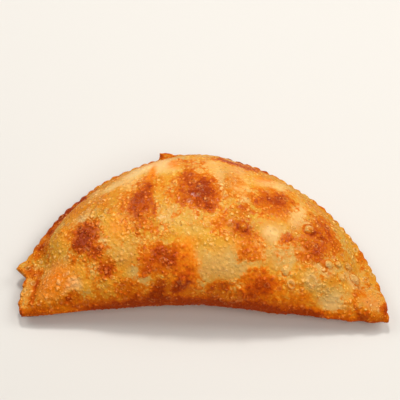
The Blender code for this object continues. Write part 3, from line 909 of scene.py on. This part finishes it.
# The tops of the beads and the crests of the rings are lighter, partly as thinner skin and partly as painted
# highlight, and the colour is darker between the beads, in the hollows of fallen rings and in the pinholes:
# painted shade.
thin_top_and_highlight = add_node(tree, "ShaderNodeMapRange", {0: bead, 1: 0.50, 2: 0.95, 3: 0.0, 4: 0.55},
                    interpolation_type="SMOOTHSTEP").outputs[0]
thin_top_and_highlight = add_node(tree, "ShaderNodeMath", {0: thin_top_and_highlight, 1: bead_tone}, operation="MULTIPLY").outputs[0]
thin_grain_and_highlight = add_node(tree, "ShaderNodeMapRange", {0: grain, 1: 0.60, 2: 0.98, 3: 0.0, 4: 0.55},
                      interpolation_type="SMOOTHSTEP").outputs[0]
thin_top_and_highlight = add_node(tree, "ShaderNodeMath", {0: thin_grain_and_highlight, 1: grain_tone, 2: thin_top_and_highlight},
                    operation="MULTIPLY_ADD").outputs[0]
crowding = add_node(tree, "ShaderNodeMapRange", {0: cloud, 1: 0.38, 2: 0.62, 3: 0.45, 4: 1.15}).outputs[0]
thin_top_and_highlight = add_node(tree, "ShaderNodeMath", {0: thin_top_and_highlight, 1: crowding}, operation="MULTIPLY").outputs[0]
thin_top_and_highlight = add_node(tree, "ShaderNodeMath", {0: thin_top_and_highlight, 1: bubbly}, operation="MULTIPLY").outputs[0]
thin_top_and_highlight = add_node(tree, "ShaderNodeMath", {0: crest, 1: 0.50, 2: thin_top_and_highlight}, operation="MULTIPLY_ADD",
                    use_clamp=True).outputs[0]
light_skin_and_highlight = add_node(tree, "ShaderNodeMix", {"Factor": cover, 6: linear("#ffd68c"), 7: linear("#f09a54")},
                      data_type="RGBA").outputs[2]
colour = add_node(tree, "ShaderNodeMix", {"Factor": thin_top_and_highlight, 6: colour, 7: light_skin_and_highlight},
                  data_type="RGBA").outputs[2]
# Painted shade between the beads and in the hollows of fallen rings, with the bead tops lighter.
relief_shade = add_node(tree, "ShaderNodeMath", {0: bead, 1: 0.34, 2: 0.74},
                        operation="MULTIPLY_ADD").outputs[0]
relief_shade = add_node(tree, "ShaderNodeMath", {0: grain, 1: 0.30, 2: relief_shade},
                        operation="MULTIPLY_ADD").outputs[0]
relief_shade = add_node(tree, "ShaderNodeMath", {0: hollow_part, 1: -0.18, 2: relief_shade},
                        operation="MULTIPLY_ADD").outputs[0]
shade_pull = add_node(tree, "ShaderNodeMix", {"Factor": bubbly, 2: 1.0, 3: relief_shade},
                      data_type="FLOAT").outputs[0]
# Painted shade in the pinholes.
shade_pull = add_node(tree, "ShaderNodeMath", {0: hole, 1: -0.28, 2: shade_pull},
                      operation="MULTIPLY_ADD").outputs[0]
colour = add_node(tree, "ShaderNodeVectorMath", {0: colour, "Scale": shade_pull},
                  operation="SCALE").outputs[0]
tree.links.new(colour, shader.inputs["Base Color"])

# Heights in millimetres: 0.60 for a bead and 0.26 for a grain, lower on pale skin, 0.14 for a ring and 0.12
# for the slack skin inside it.
height = add_node(tree, "ShaderNodeMath", {0: bead, 1: 0.60}, operation="MULTIPLY").outputs[0]
height = add_node(tree, "ShaderNodeMath", {0: grain, 1: 0.26, 2: height},
                  operation="MULTIPLY_ADD").outputs[0]
height = add_node(tree, "ShaderNodeMath", {0: height, 1: bubbly}, operation="MULTIPLY").outputs[0]
height = add_node(tree, "ShaderNodeMath", {0: crest, 1: 0.14, 2: height},
                  operation="MULTIPLY_ADD").outputs[0]
height = add_node(tree, "ShaderNodeMath", {0: hollow_part, 1: 0.12, 2: height},
                  operation="MULTIPLY_ADD").outputs[0]
uneven = add_node(tree, "ShaderNodeBump", {"Strength": 1.0, "Distance": 0.001,
                                           "Height": height}).outputs["Normal"]
tree.links.new(uneven, shader.inputs["Normal"])
tree.links.new(uneven, shader.inputs["Coat Normal"])
shader.inputs["Roughness"].default_value = 0.55
shader.inputs["Specular IOR Level"].default_value = 0.03
tree.links.new(oil_film, shader.inputs["Coat Weight"])
shader.inputs["Coat Roughness"].default_value = 0.20
shader.inputs["Coat IOR"].default_value = 1.45
shader.inputs["Subsurface Weight"].default_value = 0.12
shader.inputs["Subsurface Radius"].default_value = (1.0, 0.45, 0.18)
shader.inputs["Subsurface Scale"].default_value = 0.0014
crust_mesh.materials.append(fried_dough)

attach(crust, "root")
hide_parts("empanada")


# The studio: matt paper for a floor, a small key light high behind the pastry, soft lights to its left and
# right, and a soft fill in front that leaves no gloss on the fold.
FLOOR_REACH = 3.0
floor_corners = np.array([(-1.0, -1.0, 0.0), (1.0, -1.0, 0.0), (1.0, 1.0, 0.0), (-1.0, 1.0, 0.0)])
floor_mesh = make_mesh("floor", FLOOR_REACH * floor_corners, np.arange(4), np.array([4]))
paper = bpy.data.materials.new("matt white paper")
paper.use_nodes = True
paper.node_tree.nodes["Principled BSDF"].inputs["Base Color"].default_value = linear("#d6d3ce")
paper.node_tree.nodes["Principled BSDF"].inputs["Roughness"].default_value = 0.9
floor_mesh.materials.append(paper)
floor = bpy.data.objects.new("floor", floor_mesh)
bpy.context.scene.collection.objects.link(floor)


LIT_POINT = (0.0, 0.0, 0.015)
DAYLIGHT = (1.0, 0.98, 0.95)
WARM_WHITE = (1.0, 0.97, 0.93)


def soft_light(name, place, size, power, colour):
    """A square area light at a place, turned to face the middle of the pastry."""
    lamp = bpy.data.lights.new(name, "AREA")
    lamp.size = size
    lamp.energy = power
    lamp.color = colour
    thing = bpy.data.objects.new(name, lamp)
    back = np.array(place) - np.array(LIT_POINT)
    flat = math.hypot(back[0], back[1])
    thing.rotation_euler = (math.atan2(flat, back[2]), 0.0, math.atan2(back[0], -back[1]))
    thing.location = place
    bpy.context.scene.collection.objects.link(thing)
    return thing


soft_light("key", (-0.02, 0.36, 0.68), 0.11, 2.6, DAYLIGHT)
soft_light("left", (-0.48, 0.26, 0.56), 0.40, 1.85, DAYLIGHT)
fill = soft_light("fill", (0.30, -0.45, 0.70), 0.50, 3.2, WARM_WHITE)
fill.visible_glossy = False
soft_light("right", (0.50, 0.20, 0.55), 0.40, 2.3, DAYLIGHT)
world = bpy.data.worlds.new("studio")
world.use_nodes = True
world.node_tree.nodes["Background"].inputs["Color"].default_value = (*DAYLIGHT, 1.0)
world.node_tree.nodes["Background"].inputs["Strength"].default_value = 0.22
bpy.context.scene.world = world
bpy.context.scene.view_settings.view_transform = "Standard"


# The camera looks down at 55 degrees through a 100 mm lens. The middle of the fold, on the floor, lands
# three tenths of the picture below its middle, and the camera is turned by just under a degree.
LENS = 0.100
SENSOR = 0.036
PICTURE = 400
METRES_PER_PIXEL = 0.000374
LOOK_DOWN = math.radians(55.0)
CAMERA_TURN = math.radians(0.84)
FOLD_IN_PICTURE = (199.9, 324.4)
focal = LENS / SENSOR * PICTURE
distance = focal * METRES_PER_PIXEL
ahead = np.array([0.0, math.cos(LOOK_DOWN), -math.sin(LOOK_DOWN)])
level_right = np.array([1.0, 0.0, 0.0])
level_up = np.array([0.0, math.sin(LOOK_DOWN), math.cos(LOOK_DOWN)])
right = level_right * math.cos(CAMERA_TURN) + level_up * math.sin(CAMERA_TURN)
up = level_up * math.cos(CAMERA_TURN) - level_right * math.sin(CAMERA_TURN)
fold_middle = np.array([-BOX_MIDDLE[0], -BOX_MIDDLE[1], 0.0])
stand = fold_middle - ahead * distance
stand = stand - right * (FOLD_IN_PICTURE[0] - PICTURE / 2) / focal * distance
stand = stand + up * (FOLD_IN_PICTURE[1] - PICTURE / 2) / focal * distance
lens = bpy.data.cameras.new("camera")
lens.lens = LENS * 1000.0
lens.sensor_width = SENSOR * 1000.0
lens.clip_start = 0.01
lens.clip_end = 20.0
camera = bpy.data.objects.new("camera", lens)
pose = np.eye(4)
pose[:3, 0], pose[:3, 1], pose[:3, 2], pose[:3, 3] = right, up, -ahead, stand
camera.matrix_world = Matrix(pose.tolist())
bpy.context.scene.collection.objects.link(camera)
bpy.context.scene.camera = camera
